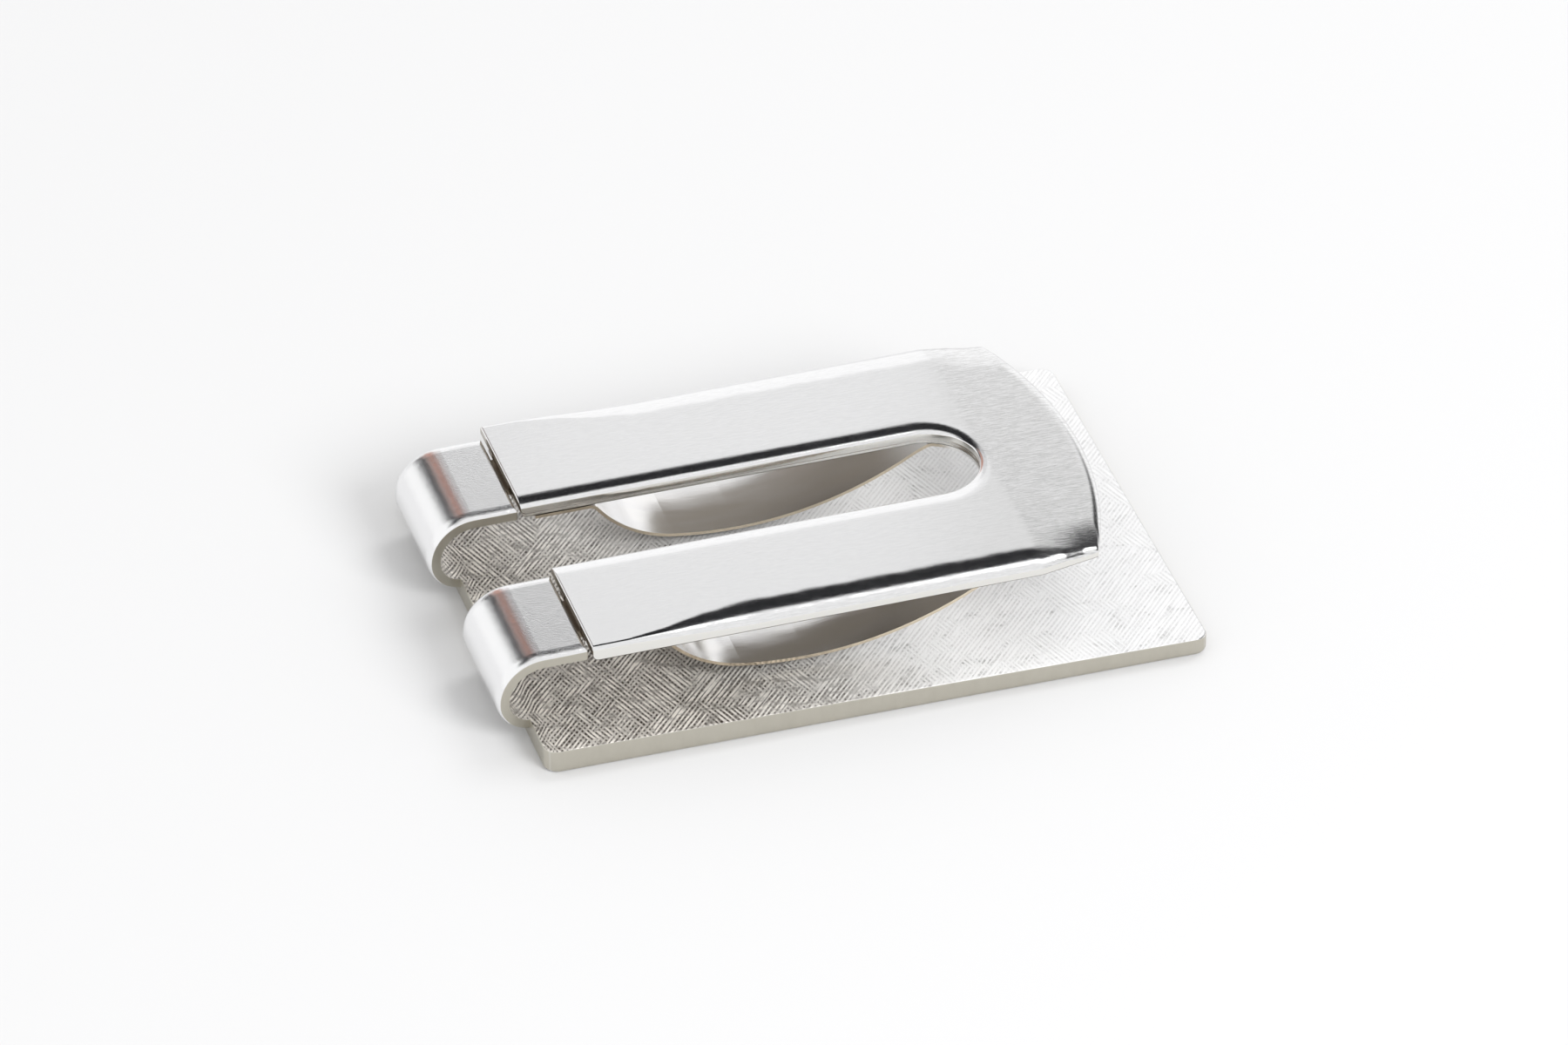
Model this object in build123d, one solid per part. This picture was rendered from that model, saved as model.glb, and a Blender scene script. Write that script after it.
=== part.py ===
from build123d import *
import math
import os

# Hinged money clip: a flat base plate whose hinge end is drawn out into two curled
# tongues, and a horseshoe clamp arm that is pinned to the tongue tips and carries one
# U-shaped bowed leaf spring. Millimetres. X runs from the hinge end to the free end,
# Y across the clip, Z up from the face that it rests on. The origin is on that face,
# under the middle of the plate.

# ---- driving dimensions: base plate -------------------------------------------------
PLATE_LENGTH = 50.8
PLATE_WIDTH = 37.0
PLATE_THICK_HINGE = 1.95
PLATE_THICK_FREE = 1.42
PLATE_CORNER_R = 1.1
PLATE_TOP_EDGE_R = 0.12
PLATE_BOTTOM_EDGE_R = 0.35

# ---- driving dimensions: curled tongues ---------------------------------------------
TONGUE_THICK = 0.9
TONGUE_INNER_Y = 4.3
TONGUE_OUTER_Y = 14.1
TONGUE_LOWER_R = 1.7
TONGUE_UPPER_R = 2.7
TONGUE_START_X = -25.2
TONGUE_RISE_DEG = 1.0
TONGUE_TIP_X = -20.95
TONGUE_SIDE_ROLL = (0.9, 0.25)
TONGUE_TIP_ROLL = (0.33, 0.29)

# ---- driving dimensions: hinge ------------------------------------------------------
PIVOT_X = -20.25
PIVOT_Z = 7.0
PIN_R = 0.27
PIN_RUNNING_CLEARANCE = 0.04
PIN_CHAMFER = 0.05
LUG_R = 0.5
LUG_WIDTH = 4.0
LUG_SIDE_GAP = 0.1
EAR_WIDTH = 1.2
POCKET_CLEARANCE = 0.06
LUG_WEB_X = -21.3
LUG_WEB_TOP = 7.05

# ---- driving dimensions: clamp arm --------------------------------------------------
ARM_THICK = 1.09
ARM_UNDERSIDE = 6.78
ARM_TILT_DEG = 0.63
ARM_END_X = -20.75
ARM_OUTER_Y = 14.9
ARM_SLOT_Y = 3.95
ARM_SLOT_CENTRE_X = 9.45
ARM_CREASE_X = 13.6
ARM_NOSE_X = 21.2
ARM_NOSE_R = 33.5
ARM_NOSE_Y = 14.0
NOSE_DROP_DEG = 1.5
SIDE_ROLL = (2.6, 0.6)
SLOT_ROLL = (1.7, 0.3)
NOSE_ROLL = (1.2, 0.3)
# where the side roll grows from the hinge end: x, width, depth
SIDE_ROLL_STATIONS = (
    (ARM_END_X, 0.4, 0.25),
    (-18.0, 0.4, 0.25),
    (-15.0, 1.02, 0.35),
    (-12.0, 1.98, 0.5),
    (-9.0, *SIDE_ROLL),
)
ARM_END_ROLL = (0.3, 0.32)
ARM_END_BOTTOM_R = 0.45

# ---- driving dimensions: leaf spring and its rivets ---------------------------------
SPRING_THICK = 0.25
SPRING_OUTER_Y = 13.2
SPRING_NOSE_INSET = 2.6
SPRING_ROOT_R = 1.0
SPRING_TOE_R = 0.9
SPRING_TOE_X = -19.67
SPRING_TOE_GAP = 0.06
BELLY_X = -4.0
BELLY_DROP = 4.44
BELLY_RIGHT_R = 27.0
BELLY_LEFT_R = 30.0
BELLY_LEFT_DEG = 9.6
SHOULDER_R = 9.0
RIVET_X = 15.6
RIVET_Y = 7.4
RIVET_SHANK_R = 0.6
RIVET_SHANK_DEPTH = 0.55
RIVET_HOLE_GAP = 0.05
RIVET_HEAD_R = 1.1
RIVET_HEAD_HEIGHT = 0.35

# ---- worked-out places --------------------------------------------------------------
HALF_LENGTH = PLATE_LENGTH / 2
ARM_TOP = ARM_UNDERSIDE + ARM_THICK
LEG_MIDDLE_Y = (ARM_SLOT_Y + ARM_OUTER_Y) / 2
LUG_SLOT_HALF = LUG_WIDTH / 2 + LUG_SIDE_GAP
PIN_LENGTH = 2 * (LUG_SLOT_HALF + EAR_WIDTH)
ARM_HINGE_AXIS = Axis((PIVOT_X, 0, PIVOT_Z), (0, -1, 0))
PIN_Y_LOW = LEG_MIDDLE_Y - PIN_LENGTH / 2
PIN_Y_HIGH = LEG_MIDDLE_Y + PIN_LENGTH / 2
NOSE_CORNER_X = ARM_NOSE_X - ARM_NOSE_R + math.sqrt(ARM_NOSE_R**2 - ARM_NOSE_Y**2)
MARGIN = 2.0
STANDING = (Align.CENTER, Align.CENTER, Align.MIN)


def span_y(edges, y_low, y_high):
    """Extrude a closed outline, drawn as (x, z), from y_low to y_high."""
    face = Plane.XZ.offset(-y_low) * make_face(edges)
    return extrude(face, amount=y_high - y_low, dir=(0, 1, 0))


def cylinder_y(x, z, radius, y_low, y_high):
    """A cylinder along Y."""
    return span_y((Pos(x, z) * Circle(radius)).edges(), y_low, y_high)


def block(low, high):
    """A box given by its lowest and highest corners."""
    size = [high[i] - low[i] for i in range(3)]
    middle = [(high[i] + low[i]) / 2 for i in range(3)]
    return Pos(*middle) * Box(*size)


def both_sides(shape):
    """The shape and its mirror image across the clip."""
    return [shape, shape.mirror(Plane.XZ)]


def strip_outline(path, offsets):
    """The closed outline between two offsets of a path, as a list of edges."""
    first = path(offsets[0])
    second = path(offsets[1])
    start_cap = Line(first[0] @ 0, second[0] @ 0)
    end_cap = Line(first[-1] @ 1, second[-1] @ 1)
    return first + second + [start_cap, end_cap]


def spandrel(width, depth):
    """What an elliptical roll takes off a corner at the origin: x outwards, y up."""
    to_top = Line((-width, 0), (-width, MARGIN))
    over = Line((-width, MARGIN), (MARGIN, MARGIN))
    down = Line((MARGIN, MARGIN), (MARGIN, -depth))
    back = Line((MARGIN, -depth), (0, -depth))
    rolled = EllipticalCenterArc((-width, -depth), width, depth, arc_size=90)
    return make_face([to_top, over, down, back, rolled])


# ---- base plate ---------------------------------------------------------------------
def plate_blank():
    """The flat plate, thinner towards its free end, with rounded corners and edges."""
    outline = RectangleRounded(PLATE_LENGTH, PLATE_WIDTH, PLATE_CORNER_R)
    blank = extrude(outline, amount=PLATE_THICK_HINGE)
    wedge = Polyline(
        (-HALF_LENGTH, PLATE_THICK_HINGE),
        (HALF_LENGTH, PLATE_THICK_FREE),
        (HALF_LENGTH, PLATE_THICK_HINGE + MARGIN),
        (-HALF_LENGTH, PLATE_THICK_HINGE + MARGIN),
        close=True,
    )
    half_width = PLATE_WIDTH / 2 + MARGIN
    blank -= span_y(wedge.edges(), -half_width, half_width)
    blank = fillet(blank.faces().sort_by(Axis.Z)[-1].edges(), PLATE_TOP_EDGE_R)
    return fillet(blank.faces().sort_by(Axis.Z)[0].edges(), PLATE_BOTTOM_EDGE_R)


def tongue_path(offset):
    """One side of the curled strip: offset 0 is the inner side, the thickness the outer."""
    start = Vector(TONGUE_START_X, PLATE_THICK_HINGE - offset)
    root = Line(start + Vector(MARGIN, 0), start)
    lower = JernArc(start, (-1, 0), TONGUE_LOWER_R + offset, -90)
    upper = JernArc(lower @ 1, lower % 1, TONGUE_UPPER_R + offset, TONGUE_RISE_DEG - 90)
    run = (TONGUE_TIP_X - (upper @ 1).X) / (upper % 1).X
    tip = Line(upper @ 1, (upper @ 1) + (upper % 1) * run)
    return [root, lower, upper, tip]


def hinge_lug():
    """The knuckle under the tongue tip: a barrel for the pin and a web back to the tip."""
    y_low = LEG_MIDDLE_Y - LUG_WIDTH / 2
    y_high = LEG_MIDDLE_Y + LUG_WIDTH / 2
    barrel = cylinder_y(PIVOT_X, PIVOT_Z, LUG_R, y_low, y_high)
    web = block((LUG_WEB_X, y_low, PIVOT_Z - LUG_R), (PIVOT_X, y_high, LUG_WEB_TOP))
    bore_r = PIN_R + PIN_RUNNING_CLEARANCE
    return barrel + web - cylinder_y(PIVOT_X, PIVOT_Z, bore_r, y_low, y_high)


def tongue_side_roll(edge_y, outwards):
    """The cutters that roll a curled strip's outer side along one of its edges."""
    lower, upper, tip = tongue_path(TONGUE_THICK)[1:]
    leftmost = lower @ 1
    origin = (leftmost.X, edge_y, leftmost.Y)
    start = Plane(origin, x_dir=(0, outwards, 0), z_dir=(0, 0, outwards))
    section = start * spandrel(*TONGUE_SIDE_ROLL)
    lower_centre = (TONGUE_START_X, 0, leftmost.Y)
    upper_centre = (leftmost.X + TONGUE_UPPER_R + TONGUE_THICK, 0, leftmost.Y)
    upper_turn = 90 - TONGUE_RISE_DEG
    end_section = section.rotate(Axis(upper_centre, (0, 1, 0)), upper_turn)
    along_tip = (tip % 1).X, 0, (tip % 1).Y
    return [
        revolve(section, Axis(lower_centre, (0, -1, 0)), 90),
        revolve(section, Axis(upper_centre, (0, 1, 0)), upper_turn),
        extrude(end_section, amount=tip.length + MARGIN, dir=along_tip),
    ]


def tongue_tip_roll():
    """The cutter that rolls the top of the strip's free end."""
    tip = tongue_path(TONGUE_THICK)[-1]
    origin = ((tip @ 1).X, TONGUE_OUTER_Y, (tip @ 1).Y)
    end = Plane(origin, x_dir=((tip % 1).X, 0, (tip % 1).Y), z_dir=(0, -1, 0))
    return extrude(end * spandrel(*TONGUE_TIP_ROLL), amount=TONGUE_OUTER_Y - TONGUE_INNER_Y)


def curled_tongue():
    """One curled tongue on the +Y side: rolled outer edges, a rolled tip and its lug."""
    outline = strip_outline(tongue_path, (0, TONGUE_THICK))
    tongue = span_y(outline, TONGUE_INNER_Y, TONGUE_OUTER_Y)
    tongue -= tongue_side_roll(TONGUE_OUTER_Y, 1) + tongue_side_roll(TONGUE_INNER_Y, -1)
    return tongue - tongue_tip_roll() + hinge_lug()


def base_plate():
    """The plate with its two tongues, in one piece."""
    return plate_blank() + both_sides(curled_tongue())


# ---- clamp arm ----------------------------------------------------------------------
def arm_blank():
    """The horseshoe plate with a tapered nose, up to the crease and beyond it."""
    disc = Pos(ARM_NOSE_X - ARM_NOSE_R, 0) * Circle(ARM_NOSE_R)
    outline = make_face(
        Polyline(
            (ARM_END_X, -ARM_OUTER_Y),
            (ARM_CREASE_X, -ARM_OUTER_Y),
            (NOSE_CORNER_X, -ARM_NOSE_Y),
            (ARM_NOSE_X, -ARM_NOSE_Y),
            (ARM_NOSE_X, ARM_NOSE_Y),
            (NOSE_CORNER_X, ARM_NOSE_Y),
            (ARM_CREASE_X, ARM_OUTER_Y),
            (ARM_END_X, ARM_OUTER_Y),
            close=True,
        ).edges()
    )
    slot = Pos(ARM_SLOT_CENTRE_X, 0) * Circle(ARM_SLOT_Y)
    slot_length = ARM_SLOT_CENTRE_X - ARM_END_X
    slot += Pos(ARM_END_X + slot_length / 2, 0) * Rectangle(slot_length, 2 * ARM_SLOT_Y)
    plan = outline & disc - slot
    return extrude(Pos(0, 0, ARM_UNDERSIDE) * plan, amount=ARM_THICK)


def side_roll():
    """The cutters that roll the +Y outer top edge: growing from the hinge, then steady."""
    sections = []
    for x, width, depth in SIDE_ROLL_STATIONS:
        plane = Plane((x, ARM_OUTER_Y, ARM_TOP), x_dir=(0, 1, 0), z_dir=(1, 0, 0))
        sections.append(plane * spandrel(width, depth))
    steady_length = ARM_CREASE_X + MARGIN - SIDE_ROLL_STATIONS[-1][0]
    return [loft(sections), extrude(sections[-1], amount=steady_length)]


def nose_side_roll():
    """The cutter that rolls the nose's tapered +Y side."""
    taper = math.atan2(ARM_OUTER_Y - ARM_NOSE_Y, NOSE_CORNER_X - ARM_CREASE_X)
    along = Vector(math.cos(taper), -math.sin(taper), 0)
    outwards = Vector(math.sin(taper), math.cos(taper), 0)
    start = Vector(ARM_CREASE_X, ARM_OUTER_Y, ARM_TOP) - along * MARGIN
    section = Plane(start, x_dir=outwards, z_dir=along) * spandrel(*SIDE_ROLL)
    return extrude(section, amount=NOSE_CORNER_X - ARM_CREASE_X + 2 * MARGIN)


def nose_end_roll():
    """The cutter that rolls the curved free end's top edge."""
    centre = Vector(ARM_NOSE_X - ARM_NOSE_R, 0, ARM_TOP)
    edge = Plane((ARM_NOSE_X, 0, ARM_TOP), x_dir=(1, 0, 0), z_dir=(0, -1, 0))
    swing = 2 * math.degrees(math.asin(ARM_OUTER_Y / ARM_NOSE_R))
    ring = revolve(edge * spandrel(*NOSE_ROLL), Axis(centre, (0, 0, 1)), swing)
    return ring.rotate(Axis(centre, (0, 0, 1)), -swing / 2)


def slot_roll():
    """The cutters that roll the slot's top edge: round its end, then along its sides."""
    middle = Vector(ARM_SLOT_CENTRE_X, 0, ARM_TOP)
    edge = Plane(middle + Vector(0, ARM_SLOT_Y, 0), x_dir=(0, -1, 0), z_dir=(-1, 0, 0))
    section = edge * spandrel(*SLOT_ROLL)
    straight = extrude(section, amount=ARM_SLOT_CENTRE_X - ARM_END_X + MARGIN)
    return [revolve(section, Axis(middle, (0, 0, -1)), 180)] + both_sides(straight)


def end_roll():
    """The cutter that eases the hinge end's top edge."""
    edge = Plane((ARM_END_X, -ARM_OUTER_Y, ARM_TOP), x_dir=(-1, 0, 0), z_dir=(0, 1, 0))
    return extrude(edge * spandrel(*ARM_END_ROLL), amount=2 * ARM_OUTER_Y)


def hinge_pocket():
    """The room for the +Y lug under the leg's end, open at the end and below."""
    reach = LUG_R + POCKET_CLEARANCE
    y_low = LEG_MIDDLE_Y - LUG_SLOT_HALF
    y_high = LEG_MIDDLE_Y + LUG_SLOT_HALF
    below = ARM_UNDERSIDE - MARGIN
    round_room = cylinder_y(PIVOT_X, PIVOT_Z, reach, y_low, y_high)
    room_below = block((ARM_END_X - MARGIN, y_low, below), (PIVOT_X + reach, y_high, PIVOT_Z))
    room_behind = block((ARM_END_X - MARGIN, y_low, below), (PIVOT_X, y_high, PIVOT_Z + reach))
    return round_room + room_below + room_behind


def hinge_ears():
    """The two +Y ears that carry the pin on both sides of the lug."""
    ears = cylinder_y(PIVOT_X, PIVOT_Z, LUG_R, PIN_Y_LOW, PIN_Y_HIGH)
    past_end = block(
        (ARM_END_X - MARGIN, PIN_Y_LOW, PIVOT_Z - MARGIN),
        (ARM_END_X, PIN_Y_HIGH, PIVOT_Z + MARGIN),
    )
    return ears - past_end


def on_nose(cutter):
    """Tilt a cutter made for a level top so that it follows the nose, which drops away."""
    return cutter.rotate(Axis((ARM_CREASE_X, 0, ARM_TOP), (0, 1, 0)), NOSE_DROP_DEG)


def above_nose():
    """The cutter that takes the nose's top down from the crease on."""
    wide = ARM_OUTER_Y + MARGIN
    reach = ARM_NOSE_X + MARGIN
    return on_nose(block((ARM_CREASE_X, -wide, ARM_TOP), (reach, wide, ARM_TOP + MARGIN)))


def clamp_arm():
    """The clamp arm: slot, rolled edges, hinge ears and pockets, and rivet holes."""
    arm = arm_blank()
    end_bottom = arm.edges().filter_by(Axis.Y).group_by(Axis.X)[0].group_by(Axis.Z)[0]
    arm = fillet(end_bottom, ARM_END_BOTTOM_R)
    arm -= slot_roll()
    arm -= [above_nose(), on_nose(nose_end_roll()), end_roll()]
    for cutter in side_roll() + [on_nose(nose_side_roll())]:
        arm -= both_sides(cutter)
    arm += both_sides(hinge_ears())
    arm -= both_sides(hinge_pocket())
    arm -= both_sides(cylinder_y(PIVOT_X, PIVOT_Z, PIN_R, PIN_Y_LOW, PIN_Y_HIGH))
    return arm - both_sides(rivet_shank(RIVET_SHANK_R))


def hinge_pin():
    """The pin through the +Y ears and lug."""
    pin = cylinder_y(PIVOT_X, PIVOT_Z, PIN_R, PIN_Y_LOW, PIN_Y_HIGH)
    return chamfer(pin.edges().filter_by(GeomType.CIRCLE), PIN_CHAMFER)


# ---- leaf spring --------------------------------------------------------------------
def leaf_path(offset):
    """One side of the bowed sheet, from the bridge to the toe: offset 0 is its top side."""
    fall = math.degrees(math.acos(1 - BELLY_DROP / (SPRING_ROOT_R + BELLY_RIGHT_R)))
    left = math.cos(math.radians(BELLY_LEFT_DEG))
    left_rise = BELLY_LEFT_R * (1 - left) - SHOULDER_R * (1 - left)
    rise = BELLY_DROP - SPRING_TOE_GAP - left_rise
    climb = math.degrees(math.acos(1 - rise / (SHOULDER_R + SPRING_TOE_R)))
    root_x = BELLY_X + (SPRING_ROOT_R + BELLY_RIGHT_R) * math.sin(math.radians(fall))
    height = ARM_UNDERSIDE - offset
    path = [Line((ARM_NOSE_X, height), (root_x, height))]
    bends = (
        (SPRING_ROOT_R - offset, fall),
        (BELLY_RIGHT_R + offset, -fall),
        (BELLY_LEFT_R + offset, -BELLY_LEFT_DEG),
        (SHOULDER_R + offset, BELLY_LEFT_DEG - climb),
        (SPRING_TOE_R - offset, climb),
    )
    for radius, turn in bends:
        path.append(JernArc(path[-1] @ 1, path[-1] % 1, radius, turn))
    toe = path[-1] @ 1
    path.append(Line(toe, (SPRING_TOE_X, toe.Y)))
    return path


def leaf_spring():
    """The U-shaped spring: a bridge under the nose and a bowed leaf under each leg."""
    sheet = span_y(strip_outline(leaf_path, (0, SPRING_THICK)), -SPRING_OUTER_Y, SPRING_OUTER_Y)
    length = ARM_NOSE_X - SPRING_TOE_X
    outline = Pos(SPRING_TOE_X + length / 2, 0) * Rectangle(length, 2 * SPRING_OUTER_Y)
    outline &= Pos(ARM_NOSE_X - ARM_NOSE_R, 0) * Circle(ARM_NOSE_R - SPRING_NOSE_INSET)
    slot_length = ARM_SLOT_CENTRE_X - SPRING_TOE_X
    slot = Pos(SPRING_TOE_X + slot_length / 2, 0) * Rectangle(slot_length, 2 * ARM_SLOT_Y)
    slot += Pos(ARM_SLOT_CENTRE_X, 0) * Circle(ARM_SLOT_Y)
    spring = sheet & extrude(outline - slot, amount=ARM_TOP)
    return spring - both_sides(rivet_shank(RIVET_SHANK_R + RIVET_HOLE_GAP))


def rivet_shank(radius):
    """The +Y rivet's shank, or a hole for it, from under the spring into the arm."""
    low = ARM_UNDERSIDE - SPRING_THICK
    shank = Cylinder(radius, SPRING_THICK + RIVET_SHANK_DEPTH, align=STANDING)
    return Pos(RIVET_X, RIVET_Y, low) * shank


def spring_rivet():
    """One rivet on the +Y side, with a low rounded head under the spring."""
    head = Cylinder(RIVET_HEAD_R, RIVET_HEAD_HEIGHT, align=STANDING)
    head = fillet(head.faces().sort_by(Axis.Z)[0].edges(), RIVET_HEAD_HEIGHT * 0.7)
    head_low = ARM_UNDERSIDE - SPRING_THICK - RIVET_HEAD_HEIGHT
    return Pos(RIVET_X, RIVET_Y, head_low) * head + rivet_shank(RIVET_SHANK_R)


# ---- the assembly -------------------------------------------------------------------
def all_parts():
    """Every piece by name. The arm and what it carries are tilted about the hinge."""
    pin_back, pin_front = both_sides(hinge_pin())
    rivet_back, rivet_front = both_sides(spring_rivet())
    on_arm = {
        "clamp_arm": clamp_arm(),
        "hinge_pin_front": pin_front,
        "hinge_pin_back": pin_back,
        "leaf_spring": leaf_spring(),
        "spring_rivet_front": rivet_front,
        "spring_rivet_back": rivet_back,
    }
    parts = {"base_plate": base_plate()}
    for name, shape in on_arm.items():
        parts[name] = shape.rotate(ARM_HINGE_AXIS, ARM_TILT_DEG)
    return parts


if __name__ == "__main__":
    os.makedirs("parts", exist_ok=True)
    for part_name, part_shape in all_parts().items():
        export_step(part_shape, f"parts/{part_name}.step")
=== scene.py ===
import math

import bmesh
import bpy
from mathutils import Matrix, Vector


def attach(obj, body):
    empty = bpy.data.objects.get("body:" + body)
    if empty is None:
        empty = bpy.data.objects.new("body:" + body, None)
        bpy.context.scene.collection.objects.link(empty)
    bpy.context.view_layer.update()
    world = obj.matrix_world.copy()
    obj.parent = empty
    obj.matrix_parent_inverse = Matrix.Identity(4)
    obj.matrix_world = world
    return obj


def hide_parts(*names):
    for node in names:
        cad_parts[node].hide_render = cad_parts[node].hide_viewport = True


MM = 0.001

# Camera: a long lens, level, so the view is close to parallel. The object stands a little
# off the lens's axis, by these fractions of the distance.
LENS_MM = 237.0
SENSOR_MM = 36.0
AZIMUTH = math.radians(17.326)
ELEVATION = math.radians(35.224)
DISTANCE = 767.9 * MM
OFF_AXIS_RIGHT = 0.00206586
OFF_AXIS_DOWN = 0.00495958
CLIP_START = 10 * MM

# Lights and surroundings, in metres and watts.
WORLD_LEVEL = 0.93
KEY_PLACE = (0.45, 0.35, 0.75)
KEY_SIZE = 0.45
KEY_POWER = 1.5
FILL_PLACE = (0.35, -0.75, 0.55)
FILL_SIZE = 0.5
FILL_POWER = 6.5
SKY_STEPS = 24
FLOOR_SIZE = 6.0
FLOOR_COLOUR = (0.69, 0.69, 0.693, 1)
FLOOR_ROUGHNESS = 0.9

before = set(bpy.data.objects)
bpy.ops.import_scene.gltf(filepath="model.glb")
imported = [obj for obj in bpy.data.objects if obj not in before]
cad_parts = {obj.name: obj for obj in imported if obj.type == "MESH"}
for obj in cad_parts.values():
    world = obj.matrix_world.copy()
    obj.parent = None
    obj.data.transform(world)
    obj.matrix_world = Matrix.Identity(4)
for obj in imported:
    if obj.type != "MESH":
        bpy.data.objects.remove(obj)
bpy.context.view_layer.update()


# ---- node helpers -------------------------------------------------------------------
class Shader:
    """A small helper round one material's node tree."""

    def __init__(self, name):
        self.material = bpy.data.materials.new(name)
        self.material.use_nodes = True
        self.tree = self.material.node_tree
        self.tree.nodes.clear()
        self.output = self.add("ShaderNodeOutputMaterial")
        self.principled = self.add("ShaderNodeBsdfPrincipled")
        self.link(self.principled.outputs[0], self.output.inputs["Surface"])
        coordinates = self.add("ShaderNodeTexCoord")
        self.place = coordinates.outputs["Object"]
        self.normal = coordinates.outputs["Normal"]

    def add(self, kind, **settings):
        node = self.tree.nodes.new(kind)
        for key, value in settings.items():
            setattr(node, key, value)
        return node

    def link(self, source, target):
        self.tree.links.new(source, target)

    def feed(self, socket, value):
        """Link the socket if the value is another node's output, else set it."""
        if isinstance(value, bpy.types.NodeSocket):
            self.link(value, socket)
        else:
            socket.default_value = value

    def set(self, **values):
        """Feed the Principled shader's sockets, named with _ for a space."""
        for key, value in values.items():
            self.feed(self.principled.inputs[key.replace("_", " ")], value)

    def math(self, operation, a, b=0.0):
        node = self.add("ShaderNodeMath", operation=operation)
        for socket, value in zip(node.inputs, (a, b)):
            self.feed(socket, value)
        return node.outputs[0]

    def plus(self, a, b):
        return self.math("ADD", a, b)

    def minus(self, a, b):
        return self.math("SUBTRACT", a, b)

    def times(self, a, b):
        return self.math("MULTIPLY", a, b)

    def larger(self, a, b):
        return self.math("MAXIMUM", a, b)

    def size(self, a):
        return self.math("ABSOLUTE", a)

    def ramp(self, value, low, high, out_low=0.0, out_high=1.0):
        """A smooth step from out_low to out_high as the value goes from low to high."""
        node = self.add("ShaderNodeMapRange", interpolation_type="SMOOTHSTEP")
        for key, item in (("Value", value), ("From Min", low), ("From Max", high)):
            self.feed(node.inputs[key], item)
        self.feed(node.inputs["To Min"], out_low)
        self.feed(node.inputs["To Max"], out_high)
        return node.outputs[0]

    def split(self, vector):
        node = self.add("ShaderNodeSeparateXYZ")
        self.link(vector, node.inputs[0])
        return node.outputs

    def turned(self, angle_deg, scale, place=None):
        """A place (the object coordinates if none) in mm, turned about Z, then scaled."""
        node = self.add("ShaderNodeMapping", vector_type="POINT")
        self.link(place or self.place, node.inputs["Vector"])
        node.inputs["Rotation"].default_value = (0, 0, math.radians(-angle_deg))
        node.inputs["Scale"].default_value = [s / MM for s in scale]
        return node.outputs[0]

    def stretched(self, vector, scale):
        node = self.add("ShaderNodeMapping", vector_type="POINT")
        self.link(vector, node.inputs["Vector"])
        node.inputs["Scale"].default_value = scale
        return node.outputs[0]

    def texture(self, name):
        """One of the noises in the table below, 0 to 1."""
        angle_deg, scale, detail, rough = NOISES[name]
        return self.noise(self.turned(angle_deg, scale), detail, rough)

    def noise(self, vector, detail, rough):
        node = self.add("ShaderNodeTexNoise", noise_dimensions="3D")
        self.link(vector, node.inputs["Vector"])
        node.inputs["Scale"].default_value = 1.0
        node.inputs["Detail"].default_value = detail
        node.inputs["Roughness"].default_value = rough
        return node.outputs["Fac"]

    def mixed(self, value, low, high):
        """Mix two colours, each a node's output or a constant."""
        node = self.add("ShaderNodeMix", data_type="RGBA")
        self.feed(node.inputs[0], value)
        self.feed(node.inputs[6], low)
        self.feed(node.inputs[7], high)
        return node.outputs[2]

    def blend(self, value, low, high):
        """Mix two numbers."""
        node = self.add("ShaderNodeMix", data_type="FLOAT")
        self.feed(node.inputs[0], value)
        self.feed(node.inputs[2], low)
        self.feed(node.inputs[3], high)
        return node.outputs[0]

    def bump(self, height, distance_mm):
        node = self.add("ShaderNodeBump")
        node.inputs["Strength"].default_value = 1.0
        node.inputs["Distance"].default_value = distance_mm * MM
        self.link(height, node.inputs["Height"])
        return node.outputs[0]


# ---- materials ----------------------------------------------------------------------
# The curls' axis, and the parts of the metal that have a finish of their own or take
# # painted light and shade: painted shade in the gap at the hinge seam (the tongue's tip
# # and the arm's end face), a painted light gradient along the plate, and painted shade at
# # the plate's far end and on the arm's underside.
CURL_X = -24.5 * MM
CURL_Z = 3.7 * MM
CURL_INNER_R = 2.6 * MM
PLATE_EDGE_Z = (2.0 * MM, 1.9 * MM)
SEAM_X = (-21.0 * MM, -20.96 * MM)
SEAM_Z = (6.0 * MM, 6.2 * MM)
PAINTED_LIGHT_ALONG = (-24 * MM, 3 * MM)
PAINTED_LIGHT_SKEW = 0.55
FAR_END_SHADE_X = (9 * MM, 19 * MM)
NOSE_GRAIN_X = (13.3 * MM, 14.2 * MM)
UNDERSIDE_SHADE_X = (6 * MM, 12 * MM)
ARM_END_SHADE_Z = (7.65 * MM, 7.55 * MM)

# Colours: one, or two to mix.
# The seam: painted shade, the dark of the gap at the hinge.
SEAM_SHADE = (0.30, 0.26, 0.21, 1)
GROOVE_BROWN = (0.035, 0.023, 0.013, 1)
# The plate's painted light gradient: darker and warmer at the hinge end, white further on.
PLATE_TONES = ((1.0, 0.95, 0.88, 1), (1.0, 1.0, 0.995, 1))
# The plate's far end: painted shade that tones down the key light there.
PLATE_FAR_END_SHADE = (0.88, 0.88, 0.885, 1)
CURL_TONES = ((0.84, 0.84, 0.845, 1), (0.90, 0.90, 0.905, 1))
EDGE_TONES = ((0.50, 0.475, 0.41, 1), (0.60, 0.575, 0.505, 1))
ARM_BRIGHT = (0.88, 0.88, 0.885, 1)
LEG_GRAIN = (0.82, 0.82, 0.825, 1)
NOSE_GRAIN = (0.69, 0.69, 0.69, 1)
ARM_SIDE = (0.82, 0.81, 0.775, 1)
# The arm's underside: painted shade, dark along the legs and lighter at the nose.
UNDERSIDE_SHADE_TONES = ((0.34, 0.31, 0.27, 1), (0.85, 0.85, 0.84, 1))
SPRING_TONES = ((0.84, 0.82, 0.79, 1), (0.93, 0.93, 0.95, 1))
SPRING_EDGE = (0.72, 0.63, 0.50, 1)
PIN_TONES = ((0.6, 0.59, 0.58, 1), (0.75, 0.74, 0.73, 1))

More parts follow.
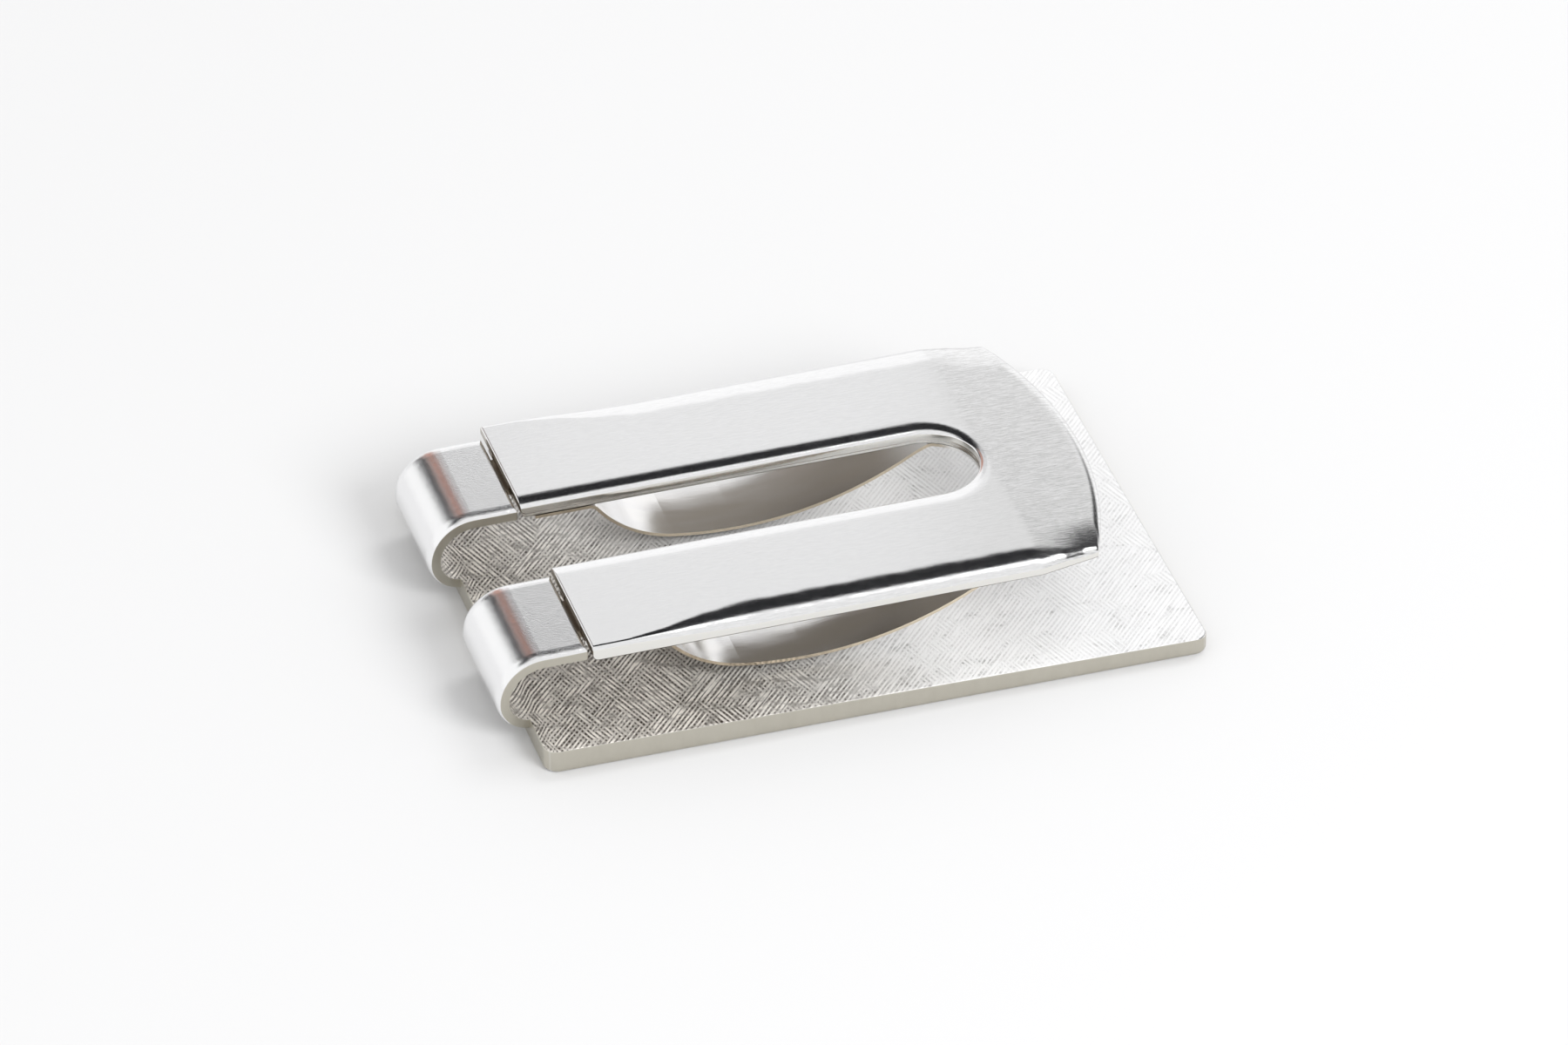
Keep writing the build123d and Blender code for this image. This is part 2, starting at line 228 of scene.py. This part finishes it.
# Each noise: its turn about Z in degrees, its scale per mm along X, Y and Z, its detail and
# its roughness.
NOISES = {
    "which_family": (0, (0.25, 0.25, 0.25), 3.0, 0.6),
    "patch": (25, (0.35, 0.6, 0.6), 5.0, 0.65),
    "blot": (-40, (1.1, 1.6, 1.6), 4.0, 0.65),
    "curl_grain": (0, (2.2, 13.0, 2.2), 3.0, 0.7),
    "sheared": (0, (1.2, 1.2, 0.6), 3.0, 0.6),
    "arm_grain": (4, (0.9, 14.0, 2.0), 4.0, 0.65),
    "arm_speck": (-3, (2.0, 10.0, 9.0), 3.0, 0.65),
    "spring_haze": (0, (0.12, 0.5, 0.5), 2.0, 0.5),
    "spring_streaks": (0, (0.4, 8.0, 8.0), 3.0, 0.6),
    "pin_haze": (0, (3.0, 0.5, 3.0), 2.0, 0.5),
}

# Each family of scratches: its angle in degrees, the distance between its lines in mm and
# its phase. Where one family is strong the other is down to WEAK_FAMILY.
SCRATCH_FAMILIES = ((48, 0.33, 0.0), (-70, 0.37, 2.0))
WEAK_FAMILY = 0.3
WAVE_PERIOD = 0.314
WAVE_SHARE = 0.34
WAVE_SETTINGS = (("Distortion", 1.2), ("Detail", 1.0), ("Detail Scale", 0.25))
WAVE_STRETCH = (0.3, 1.0, 1.0)
STREAK_STRETCH = (0.3, 4.6, 4.6)


def laid_flat(s):
    """The sheet's own plane: the curls' inner faces unrolled in line with the plate."""
    x, y, z = s.split(s.place)
    over = s.minus(x, CURL_X)
    above = s.minus(z, CURL_Z)
    angle = s.math("ARCTAN2", s.times(over, -1.0), s.times(above, -1.0))
    round_curl = s.times(angle, -CURL_INNER_R)
    past_curl = s.minus(-math.pi * CURL_INNER_R, over)
    along = s.blend(s.math("GREATER_THAN", above, 0.0), over, past_curl)
    along = s.blend(s.math("LESS_THAN", over, 0.0), along, round_curl)
    sheet = s.add("ShaderNodeCombineXYZ")
    s.link(along, sheet.inputs[0])
    s.link(y, sheet.inputs[1])
    return sheet.outputs[0]


def scratches(s, sheet, angle_deg, period_mm, phase):
    """One family of near-parallel scratch lines in the sheet's plane, 0 to 1."""
    lines = s.turned(angle_deg, (1.0, 1.0, 1.0), sheet)
    wave = s.add("ShaderNodeTexWave", wave_type="BANDS", bands_direction="Y")
    wave.inputs["Scale"].default_value = WAVE_PERIOD / period_mm
    wave.inputs["Phase Offset"].default_value = phase
    for key, value in WAVE_SETTINGS:
        wave.inputs[key].default_value = value
    s.link(s.stretched(lines, WAVE_STRETCH), wave.inputs["Vector"])
    streaks = s.noise(s.stretched(lines, STREAK_STRETCH), 2.0, 0.6)
    return s.ramp(s.plus(s.times(wave.outputs["Fac"], WAVE_SHARE), streaks), 0.57, 0.74)


def plate_masks(s):
    """Where the plate is scratched, where it is plain, and where it faces the seam."""
    x, _, z = s.split(s.place)
    nx, ny, nz = s.split(s.normal)
    facing_out = s.plus(s.times(nx, s.minus(x, CURL_X)), s.times(nz, s.minus(z, CURL_Z)))
    inner = s.ramp(facing_out, 0.0, -0.3 * MM)
    side = s.ramp(s.size(ny), 0.85, 0.95)
    steep = s.ramp(s.larger(s.size(nx), s.size(ny)), 0.5, 0.8)
    low_edge = s.times(steep, s.ramp(z, *PLATE_EDGE_Z))
    seam = s.times(s.ramp(x, *SEAM_X), s.ramp(z, *SEAM_Z))
    plain = s.larger(s.larger(side, low_edge), seam)
    return s.times(inner, s.minus(1.0, plain)), plain, seam


def crossed_scratches(s):
    """Both families of scratches, each strong where the other is weak."""
    sheet = laid_flat(s)
    first, second = (scratches(s, sheet, *family) for family in SCRATCH_FAMILIES)
    strength = s.ramp(s.texture("which_family"), 0.36, 0.54, WEAK_FAMILY, 1.0)
    other = s.minus(1.0 + WEAK_FAMILY, strength)
    return s.larger(s.times(first, strength), s.times(second, other))


def scratched_metal(s, cross):
    """The scratched faces' colour: stains near the hinge on a painted light gradient,
    darker at the hinge end and brighter further on, and painted shade at the far end.
    """
    x, y, _ = s.split(s.place)
    blot = s.texture("blot")
    # Painted light: darker at the hinge end and brighter further on, where the brighter
    # colour offsets the arm's shade on the plate; random patches and stains are added to
    # it.
    painted_light = s.ramp(s.plus(x, s.times(y, PAINTED_LIGHT_SKEW)), *PAINTED_LIGHT_ALONG, 0.05, 1.2)
    light_and_stains = s.plus(painted_light, s.times(s.minus(s.texture("patch"), 0.5), 1.5))
    light_and_stains = s.plus(light_and_stains, s.times(s.minus(blot, 0.5), 2.2))
    groove_tone = s.ramp(light_and_stains, -0.1, 1.25, 0.0, 0.84)
    line_tone = s.ramp(light_and_stains, -0.9, 0.3, 0.75, 1.0)
    stain = s.times(s.ramp(blot, 0.48, 0.64), s.ramp(painted_light, 0.9, 0.4, 0.0, 0.5))
    tone = s.times(s.blend(cross, groove_tone, line_tone), s.minus(1.0, stain))
    bright = s.mixed(painted_light, *PLATE_TONES)
    # Painted shade: the plate's far end is coloured darker, to tone down the key light that
    # falls strongest there.
    bright = s.mixed(s.ramp(x, *FAR_END_SHADE_X), bright, PLATE_FAR_END_SHADE)
    return s.mixed(tone, GROOVE_BROWN, bright), painted_light


def plate_steel():
    """Cross-scratched inner faces, satin outer curls, plain sheared side faces, painted
    shade in the seam.
    """
    s = Shader("scratched_plate_steel")
    scratched, plain, seam = plate_masks(s)
    cross = crossed_scratches(s)
    metal, painted_light = scratched_metal(s, cross)
    grain = s.texture("curl_grain")
    sheared = s.texture("sheared")
    colour = s.mixed(scratched, s.mixed(grain, *CURL_TONES), metal)
    colour = s.mixed(plain, colour, s.mixed(sheared, *EDGE_TONES))
    # Painted shade: the tongue's tip face in the gap at the hinge seam takes the seam's
    # dark colour.
    colour = s.mixed(seam, colour, SEAM_SHADE)
    curl_rough = s.ramp(grain, 0.3, 0.7, 0.08, 0.15)
    rough = s.blend(scratched, curl_rough, s.blend(cross, 0.36, 0.3))
    rough = s.blend(plain, rough, s.ramp(sheared, 0.3, 0.7, 0.3, 0.42))
    metallic = s.blend(scratched, 1.0, s.blend(painted_light, 0.38, 0.32))
    height = s.plus(s.times(cross, scratched), s.times(grain, 0.8))
    s.set(Base_Color=colour, Metallic=metallic, Roughness=rough)
    s.set(Normal=s.bump(height, 0.014))
    return s.material


def satin_steel():
    """Fine lengthwise grain, plainer along the legs and coarser on the nose, with painted
    shade on the underside and on the end face in the seam.
    """
    s = Shader("satin_arm_steel")
    x, _, z = s.split(s.place)
    nx, _, nz = s.split(s.normal)
    grain = s.times(s.texture("arm_grain"), 0.6)
    both = s.plus(grain, s.times(s.texture("arm_speck"), 0.4))
    nose = s.ramp(x, *NOSE_GRAIN_X)
    side = s.ramp(nz, 0.55, 0.2)
    rolled = s.ramp(nz, 0.998, 0.97)
    under = s.ramp(nz, -0.4, -0.7)
    end = s.times(s.ramp(nx, -0.6, -0.9), s.ramp(z, *ARM_END_SHADE_Z))
    flat_nose = s.times(nose, s.minus(1.0, rolled))
    grained = s.mixed(nose, LEG_GRAIN, NOSE_GRAIN)
    colour = s.mixed(s.ramp(both, 0.4, 0.6), grained, ARM_BRIGHT)
    colour = s.mixed(side, colour, ARM_SIDE)
    # Painted shade: the underside is coloured dark brown along the legs, where shade falls
    # under the arm, and lighter towards the nose; its rougher finish is its own.
    colour = s.mixed(under, colour, s.mixed(s.ramp(x, *UNDERSIDE_SHADE_X), *UNDERSIDE_SHADE_TONES))
    # Painted shade: the arm's end face and hinge ears below the top, in the gap at the
    # seam, take the seam's dark colour.
    colour = s.mixed(end, colour, SEAM_SHADE)
    rough = s.plus(s.ramp(both, 0.4, 0.6, 0.07, 0.12), s.times(flat_nose, 0.05))
    rough = s.blend(under, rough, 0.35)
    busy = s.larger(flat_nose, s.times(rolled, 0.5))
    height = s.times(both, s.plus(busy, 0.3))
    s.set(Base_Color=colour, Metallic=1.0, Roughness=rough)
    s.set(Normal=s.bump(height, 0.007))
    return s.material


def polished_steel():
    """Bright rolled sheet with faint lengthwise streaks and sheared edges."""
    s = Shader("polished_spring_steel")
    haze = s.texture("spring_haze")
    edge = s.ramp(s.size(s.split(s.normal)[1]), 0.7, 0.9)
    colour = s.mixed(edge, s.mixed(haze, *SPRING_TONES), SPRING_EDGE)
    s.set(Base_Color=colour, Metallic=1.0, Roughness=s.ramp(haze, 0.3, 0.7, 0.12, 0.2))
    s.set(Normal=s.bump(s.texture("spring_streaks"), 0.002))
    return s.material


def pin_steel():
    """Plain turned steel for the pins and rivets."""
    s = Shader("pin_steel")
    haze = s.texture("pin_haze")
    colour = s.mixed(haze, *PIN_TONES)
    s.set(Base_Color=colour, Metallic=1.0, Roughness=s.ramp(haze, 0.3, 0.7, 0.2, 0.32))
    return s.material


def dress(node, material):
    """Give a CAD node its material."""
    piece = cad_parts[node]
    piece.data.materials.clear()
    piece.data.materials.append(material)


dress("base_plate", plate_steel())
dress("leaf_spring", polished_steel())
pins = pin_steel()
for fastener in ("hinge_pin", "spring_rivet"):
    for end in ("front", "back"):
        dress(f"{fastener}_{end}", pins)


# ---- the arm's finer skin -----------------------------------------------------------
# Every size is in millimetres, in the arm's own frame before it tilts about the hinge.
PIVOT = Vector((-20.25, 0, 7.0))
ARM_TILT = math.radians(0.63)
UNDERSIDE = 6.78
TOP = 7.87
END_X = -20.75
OUTER_Y = 14.9
SLOT_Y = 3.95
SLOT_X = 9.45
CREASE_X = 13.6
NOSE_X = 21.2
NOSE_R = 33.5
NOSE_Y = 14.0
NOSE_SLOPE = math.tan(math.radians(1.5))
NOSE_CENTRE = NOSE_X - NOSE_R
NOSE_CORNER_X = NOSE_CENTRE + math.sqrt(NOSE_R**2 - NOSE_Y**2)
SIDE_STATIONS = (
    (-20.75, 0.4, 0.25),
    (-18.0, 0.4, 0.25),
    (-15.0, 1.02, 0.35),
    (-12.0, 1.98, 0.5),
    (-9.0, 2.6, 0.6),
    (13.6, 2.6, 0.6),
    (15.5, 1.2, 0.35),
    (18.2, 0.5, 0.2),
)
SLOT_ROLL = (1.7, 0.3)
SLOT_END_ROLL = (0.75, 0.2)
END_ROLL = (0.12, 0.12)
NOSE_ROLL = (0.9, 0.3)
END_BOTTOM_R = 0.45
POCKET_Y = (7.325, 11.525)
POCKET_R = 0.56
EARS_Y = ((6.125, 7.325), (11.525, 12.725))
EAR_R = 0.5
BEVEL = 0.05
SLOT_LINE = (0.24, 0.27, 0.30)
SLOT_LINE_DEPTH = 0.05

# The side roll's waviness (part of its width, radians per mm, start), the nose's gentle
# fall towards its sides, the softness of the crease, and the power that blends the rolls
# where they meet.
SIDE_WAVES = ((0.025, 1.3, 0.0), (0.015, 3.1, 1.0))
NOSE_FALL_WIDTH = 3.8
NOSE_FALL_SLOPE = 0.2
NOSE_FALL_GROWTH = 3.5
CREASE_SOFTNESS = 0.3
ROLL_POWER = 3

# How finely the skin is cut: cross-sections along each leg and round the nose, and points
# across the arm, in a band on each roll and at marks between. The first two marks stand on
# either side of the pocket's wall.
END_STEPS = (0.0, 0.01, 0.03, 0.06, 0.09, 0.12, 0.16, 0.2, 0.27, 0.36, 0.45, 0.5)
END_GAP = 0.1
POCKET_STEP = 0.08
POCKET_MARGIN = 0.02
POCKET_EDGE = 0.003
LEG_START_GAP = 0.15
LEG_STEP = 0.2
LEG_END_GAP = 0.1
NOSE_STEP = math.radians(0.6)
NOSE_RAYS = 301
CORNER_GAP = math.radians(0.4)
INNER_BAND = 1.9
INNER_COLUMNS = 18
OUTER_BAND = 3.5
OUTER_COLUMNS = 26
MIDDLE_MARKS = (3.371, 3.379, 4.2, 5.1, 6.0, 6.8, 7.2)
EAR_STEPS = 32
SHARP_DEG = 35.0
TINY = 1e-9


def roll(distance, width, depth):
    """How far an elliptical roll has dropped at this distance from the edge."""
    if distance >= width:
        return 0.0
    reach = min(1.0, (width - distance) / width)
    return depth * (1 - math.sqrt(1 - reach * reach))


def side_size(x):
    """The side roll's width and depth at x."""
    stations = SIDE_STATIONS
    if x <= stations[0][0]:
        return stations[0][1:]
    for (x0, w0, d0), (x1, w1, d1) in zip(stations, stations[1:]):
        if x <= x1:
            t = (x - x0) / (x1 - x0)
            wave = 1 + sum(part * math.sin(rate * x + at) for part, rate, at in SIDE_WAVES)
            return (w0 + (w1 - w0) * t) * wave, d0 + (d1 - d0) * t
    return stations[-1][1:]


def nose_bevel(x, distance):
    """The extra gentle fall of the nose's sides towards its corners."""
    grown = min(1.0, max(0.0, (x - CREASE_X) / NOSE_FALL_GROWTH))
    reach = max(0.0, NOSE_FALL_WIDTH - distance)
    return NOSE_FALL_SLOPE * grown * reach**2 / (2 * NOSE_FALL_WIDTH)


def side_distance(x, y):
    """Distance in from the arm's side, straight along the leg and tapered at the nose."""
    if x <= CREASE_X:
        return OUTER_Y - abs(y)
    run = NOSE_CORNER_X - CREASE_X
    fall = OUTER_Y - NOSE_Y
    line_y = OUTER_Y - fall * (x - CREASE_X) / run
    return (line_y - abs(y)) * run / math.hypot(run, fall)


def slot_distance(x, y):
    """Distance from the slot's edge."""
    if x <= SLOT_X:
        return abs(y) - SLOT_Y
    return math.hypot(x - SLOT_X, y) - SLOT_Y


def slot_size(x, y):
    """The slot roll's width and depth: slighter round the far part of the slot's end."""
    if x <= SLOT_X:
        return SLOT_ROLL
    t = math.sin(math.atan2(x - SLOT_X, abs(y) + TINY)) ** 2
    return tuple(a + (b - a) * t for a, b in zip(SLOT_ROLL, SLOT_END_ROLL))


def top_height(x, y):
    """The top's height, with every roll at this place blended into one."""
    width, depth = side_size(x)
    from_side = max(0.0, side_distance(x, y))
    side = roll(from_side, width, depth) + nose_bevel(x, from_side)
    nose = roll(max(0.0, NOSE_R - math.hypot(x - NOSE_CENTRE, y)), *NOSE_ROLL)
    slot = roll(max(0.0, slot_distance(x, y)), *slot_size(x, y))
    end = roll(max(0.0, x - END_X), *END_ROLL)
    past_crease = 0.5 * (x - CREASE_X + math.hypot(x - CREASE_X, CREASE_SOFTNESS))
    rolls = (side, nose, slot, end)
    drop = sum(each**ROLL_POWER for each in rolls) ** (1 / ROLL_POWER)
    return TOP - drop - NOSE_SLOPE * past_crease


def bottom_height(x, y):
    """The underside's height: rounded at the arm's end, with a pocket for the hinge lug."""
    low = UNDERSIDE
    in_from_end = x - END_X
    if in_from_end < END_BOTTOM_R:
        rise = END_BOTTOM_R - in_from_end
        low += END_BOTTOM_R - math.sqrt(END_BOTTOM_R**2 - rise**2)
    if POCKET_Y[0] < abs(y) < POCKET_Y[1]:
        if x <= PIVOT.x:
            low = PIVOT.z + POCKET_R
        elif x < PIVOT.x + POCKET_R:
            low = max(low, PIVOT.z + math.sqrt(POCKET_R**2 - (x - PIVOT.x) ** 2))
    return low


def outline_point(angle):
    """Where a ray from the middle of the slot's round end meets the nose's outline."""
    c, s = math.cos(angle), math.sin(angle)
    offset = SLOT_X - NOSE_CENTRE
    along = -offset * c + math.sqrt(NOSE_R**2 - (offset * s) ** 2)
    run = NOSE_CORNER_X - CREASE_X
    slope = (OUTER_Y - NOSE_Y) / run
    if abs(s) > TINY:
        straight = OUTER_Y / abs(s)
        if SLOT_X + straight * c > CREASE_X:
            straight = (OUTER_Y + slope * (CREASE_X - SLOT_X)) / (abs(s) + slope * c)
        along = min(along, straight)
    return SLOT_X + along * c, along * s


def arm_stations():
    """Points on the slot's edge and the outline, from one leg's end to the other's."""
    xs = [END_X + step for step in END_STEPS]
    pocket_edge = PIVOT.x + POCKET_R
    x = xs[-1] + END_GAP
    while x < pocket_edge - POCKET_MARGIN:
        xs.append(x)
        x += POCKET_STEP
    xs += [pocket_edge - POCKET_EDGE, pocket_edge + POCKET_EDGE]
    x = pocket_edge + LEG_START_GAP
    while x < SLOT_X - LEG_END_GAP:
        xs.append(x)
        x += LEG_STEP
    leg = [((x, -SLOT_Y), (x, -OUTER_Y)) for x in xs]
    corner = math.atan2(NOSE_Y, NOSE_CORNER_X - SLOT_X)
    angles = [-math.pi / 2 + NOSE_STEP * i for i in range(NOSE_RAYS)]
    angles = [a for a in angles if abs(abs(a) - corner) > CORNER_GAP]
    angles = sorted(angles + [corner, -corner])
    nose = []
    for a in angles:
        rim = (SLOT_X + SLOT_Y * math.cos(a), SLOT_Y * math.sin(a))
        nose.append((rim, outline_point(a)))
    back = [((x, SLOT_Y), (x, OUTER_Y)) for x in reversed(xs)]
    return leg + nose + back


def arm_columns(width):
    """Distances across the arm from the slot's edge, closer together on the rolls."""

    def band(reach, count):
        turns = [math.pi / 2 * i / count for i in range(count + 1)]
        return [reach * (1 - math.cos(turn)) for turn in turns]

    leg_width = OUTER_Y - SLOT_Y
    stretch = (width - INNER_BAND - OUTER_BAND) / (leg_width - INNER_BAND - OUTER_BAND)
    middle = [INNER_BAND + (mark - INNER_BAND) * stretch for mark in MIDDLE_MARKS]
    outer = [width - distance for distance in band(OUTER_BAND, OUTER_COLUMNS)]
    return band(INNER_BAND, INNER_COLUMNS) + middle + outer[::-1]


def arm_ring(inner, outer):
    """One closed cross-section: slot wall, top, outer wall, underside."""
    width = math.hypot(outer[0] - inner[0], outer[1] - inner[1])
    ux = (outer[0] - inner[0]) / width
    uy = (outer[1] - inner[1]) / width
    columns = arm_columns(width)

    def at(distance):
        return inner[0] + ux * distance, inner[1] + uy * distance

    low = bottom_height(*inner)
    ring = [(*at(BEVEL), low), (*inner, low + BEVEL)]
    for height, depth in zip(SLOT_LINE, (0.0, SLOT_LINE_DEPTH, 0.0)):
        ring.append((*at(depth), low + height))
    for distance in columns:
        x, y = at(distance)
        ring.append((x, y, top_height(x, y)))
    low = bottom_height(*outer)
    ring += [(*outer, low + BEVEL), (*at(width - BEVEL), low)]
    for distance in columns[-2:0:-1]:
        x, y = at(distance)
        ring.append((x, y, bottom_height(x, y)))
    return ring


def add_ear(points, faces, y_low, y_high):
    """Add one hinge ear, a short barrel along Y about the pivot."""
    first = len(points)
    second = first + EAR_STEPS
    for y in (y_low, y_high):
        for i in range(EAR_STEPS):
            turn = 2 * math.pi * i / EAR_STEPS
            x = PIVOT.x + EAR_R * math.cos(turn)
            points.append((x, y, PIVOT.z + EAR_R * math.sin(turn)))
    for i in range(EAR_STEPS):
        after = (i + 1) % EAR_STEPS
        faces.append((first + i, first + after, second + after, second + i))
    faces.append(tuple(range(first, second)))
    faces.append(tuple(range(second, second + EAR_STEPS)))


def arm_mesh():
    """The skin's points and faces: cross-sections joined end to end, and four ears."""
    rings = [arm_ring(*station) for station in arm_stations()]
    size = len(rings[0])
    points = [point for ring in rings for point in ring]
    faces = []
    for i in range(len(rings) - 1):
        for j in range(size):
            k = (j + 1) % size
            a, b = i * size + j, i * size + k
            faces.append((a, b, b + size, a + size))
    faces.append(tuple(reversed(range(size))))
    faces.append(tuple(range(len(points) - size, len(points))))
    for y_low, y_high in EARS_Y:
        for side in (-1, 1):
            add_ear(points, faces, side * y_low, side * y_high)
    return points, faces


def on_arm(points):
    """Tilt points of the arm's own frame about the hinge, and change to metres."""
    turn = Matrix.Rotation(-ARM_TILT, 4, "Y")
    return [tuple((PIVOT + turn @ (Vector(p) - PIVOT)) * MM) for p in points]


def make_piece(name, points, faces, material):
    """An object with smooth faces and sharp edges, and every face turned outwards."""
    mesh = bpy.data.meshes.new(name)
    mesh.from_pydata(points, [], faces)
    mesh.validate()
    outwards = bmesh.new()
    outwards.from_mesh(mesh)
    bmesh.ops.recalc_face_normals(outwards, faces=outwards.faces)
    outwards.to_mesh(mesh)
    outwards.free()
    piece = bpy.data.objects.new(name, mesh)
    bpy.context.collection.objects.link(piece)
    mesh.materials.append(material)
    mesh.polygons.foreach_set("use_smooth", [True] * len(mesh.polygons))
    mesh.set_sharp_from_angle(angle=math.radians(SHARP_DEG))
    return piece


arm_points, arm_faces = arm_mesh()
arm_skin = make_piece("clamp_arm_skin", on_arm(arm_points), arm_faces, satin_steel())
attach(arm_skin, "arm")
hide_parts("clamp_arm")


# ---- surroundings -------------------------------------------------------------------
def soft_glow(name, colour, soft):
    """A glow that fades out over the outer part of a patch, on all four sides."""
    material = bpy.data.materials.new(name)
    material.use_nodes = True
    tree = material.node_tree
    tree.nodes.clear()

    def node(kind, **settings):
        made = tree.nodes.new(kind)
        for key, value in settings.items():
            setattr(made, key, value)
        return made

    output = node("ShaderNodeOutputMaterial")
    emission = node("ShaderNodeEmission")
    emission.inputs["Color"].default_value = (*colour, 1)
    emission.inputs["Strength"].default_value = 1.0
    clear = node("ShaderNodeBsdfTransparent")
    mix = node("ShaderNodeMixShader")
    across = node("ShaderNodeSeparateXYZ")
    tree.links.new(node("ShaderNodeTexCoord").outputs["UV"], across.inputs[0])
    cover = None
    for part, fade in zip(across.outputs, soft):
        for low, high in ((0.0, fade), (1.0, 1.0 - fade)):
            ramp = node("ShaderNodeMapRange", interpolation_type="SMOOTHSTEP")
            tree.links.new(part, ramp.inputs["Value"])
            ramp.inputs["From Min"].default_value = low
            ramp.inputs["From Max"].default_value = high
            if cover is None:
                cover = ramp.outputs[0]
            else:
                both = node("ShaderNodeMath", operation="MULTIPLY")
                tree.links.new(cover, both.inputs[0])
                tree.links.new(ramp.outputs[0], both.inputs[1])
                cover = both.outputs[0]
    tree.links.new(cover, mix.inputs[0])
    tree.links.new(clear.outputs[0], mix.inputs[1])
    tree.links.new(emission.outputs[0], mix.inputs[2])
    tree.links.new(mix.outputs[0], output.inputs["Surface"])
    return material


def sky_patch(name, azimuths, elevations, colour, soft, radius):
    """A piece of a big sphere round the object, seen only in its reflections."""
    points, places, faces = [], [], []
    for i in range(SKY_STEPS + 1):
        azimuth = math.radians(azimuths[0] + (azimuths[1] - azimuths[0]) * i / SKY_STEPS)
        for j in range(SKY_STEPS + 1):
            height = elevations[0] + (elevations[1] - elevations[0]) * j / SKY_STEPS
            elevation = math.radians(height)
            places.append((i / SKY_STEPS, j / SKY_STEPS))
            level = radius * math.cos(elevation)
            across = level * math.sin(azimuth)
            points.append((across, level * math.cos(azimuth), radius * math.sin(elevation)))
    row = SKY_STEPS + 1
    for i in range(SKY_STEPS):
        for j in range(SKY_STEPS):
            corner = i * row + j
            faces.append((corner, corner + 1, corner + row + 1, corner + row))
    mesh = bpy.data.meshes.new(name)
    mesh.from_pydata(points, [], faces)
    layer = mesh.uv_layers.new(name="across")
    for loop in mesh.loops:
        layer.data[loop.index].uv = places[loop.vertex_index]
    patch = bpy.data.objects.new(name, mesh)
    bpy.context.collection.objects.link(patch)
    mesh.materials.append(soft_glow(name, colour, soft))
    patch.visible_camera = False
    patch.visible_diffuse = False
    patch.visible_shadow = False


# Each patch: its azimuths in degrees from +Y towards +X, elevations, colour, the parts of
# its width and height over which it fades out, and its radius.
SKY_PATCHES = {
    "dark_overhead": ((-60, 110), (40.5, 60), (0.02, 0.02, 0.022), (0.04, 0.05), 0.6),
    "dark_left": ((-31.5, -15.5), (15, 40.5), (0.02, 0.02, 0.022), (0.1, 0.08), 0.6),
    "dark_right": ((30, 62), (24, 41), (0.04, 0.04, 0.04), (0.2, 0.15), 0.6),
    "brown_left": ((-19, 4), (15, 41), (0.50, 0.25, 0.19), (0.42, 0.08), 0.61),
    "grey_back": ((-20, 13), (28, 41), (0.74, 0.74, 0.745), (0.15, 0.1), 0.62),
    "grey_right": ((18.5, 36), (31, 42), (0.82, 0.82, 0.815), (0.03, 0.1), 0.62),
    "bright_left": ((-130, -29), (-4, 60), (1.08, 1.08, 1.08), (0.03, 0.05), 0.63),
    "bright_low": ((-10, 60), (4, 33), (1.12, 1.12, 1.12), (0.1, 0.12), 0.63),
}
for name, patch in SKY_PATCHES.items():
    sky_patch(name, *patch)

world = bpy.data.worlds.new("white_tent")
bpy.context.scene.world = world
world.use_nodes = True
background = world.node_tree.nodes["Background"]
background.inputs["Color"].default_value = (1, 1, 1, 1)
background.inputs["Strength"].default_value = WORLD_LEVEL

floor_material = bpy.data.materials.new("white_paper")
floor_material.use_nodes = True
floor_bsdf = floor_material.node_tree.nodes["Principled BSDF"]
floor_bsdf.inputs["Base Color"].default_value = FLOOR_COLOUR
floor_bsdf.inputs["Roughness"].default_value = FLOOR_ROUGHNESS
bpy.ops.mesh.primitive_plane_add(size=FLOOR_SIZE, location=(0, 0, 0))
floor = bpy.context.object
floor.name = "white_floor"
floor.data.materials.append(floor_material)


def area_light(name, place, size, power):
    """A round area light that points at the object."""
    light = bpy.data.lights.new(name, "AREA")
    light.shape = "DISK"
    light.size = size
    light.energy = power
    lamp = bpy.data.objects.new(name, light)
    bpy.context.collection.objects.link(lamp)
    lamp.location = place
    lamp.rotation_mode = "QUATERNION"
    lamp.rotation_quaternion = (-Vector(place)).to_track_quat("-Z", "Y")
    return lamp


area_light("key", KEY_PLACE, KEY_SIZE, KEY_POWER)
fill = area_light("front_fill", FILL_PLACE, FILL_SIZE, FILL_POWER)
fill.visible_glossy = False

# ---- camera -------------------------------------------------------------------------
forward = Vector(
    (
        math.sin(AZIMUTH) * math.cos(ELEVATION),
        math.cos(AZIMUTH) * math.cos(ELEVATION),
        -math.sin(ELEVATION),
    )
)
right = Vector((math.cos(AZIMUTH), -math.sin(AZIMUTH), 0))
up = right.cross(forward)
camera_data = bpy.data.cameras.new("photo_camera")
camera_data.lens = LENS_MM
camera_data.sensor_width = SENSOR_MM
camera_data.clip_start = CLIP_START
camera = bpy.data.objects.new("photo_camera", camera_data)
bpy.context.collection.objects.link(camera)
position = -(forward + right * OFF_AXIS_RIGHT - up * OFF_AXIS_DOWN) * DISTANCE
turn = Matrix((right, up, -forward)).transposed().to_4x4()
camera.matrix_world = Matrix.Translation(position) @ turn
bpy.context.scene.camera = camera
bpy.context.scene.view_settings.view_transform = "Standard"
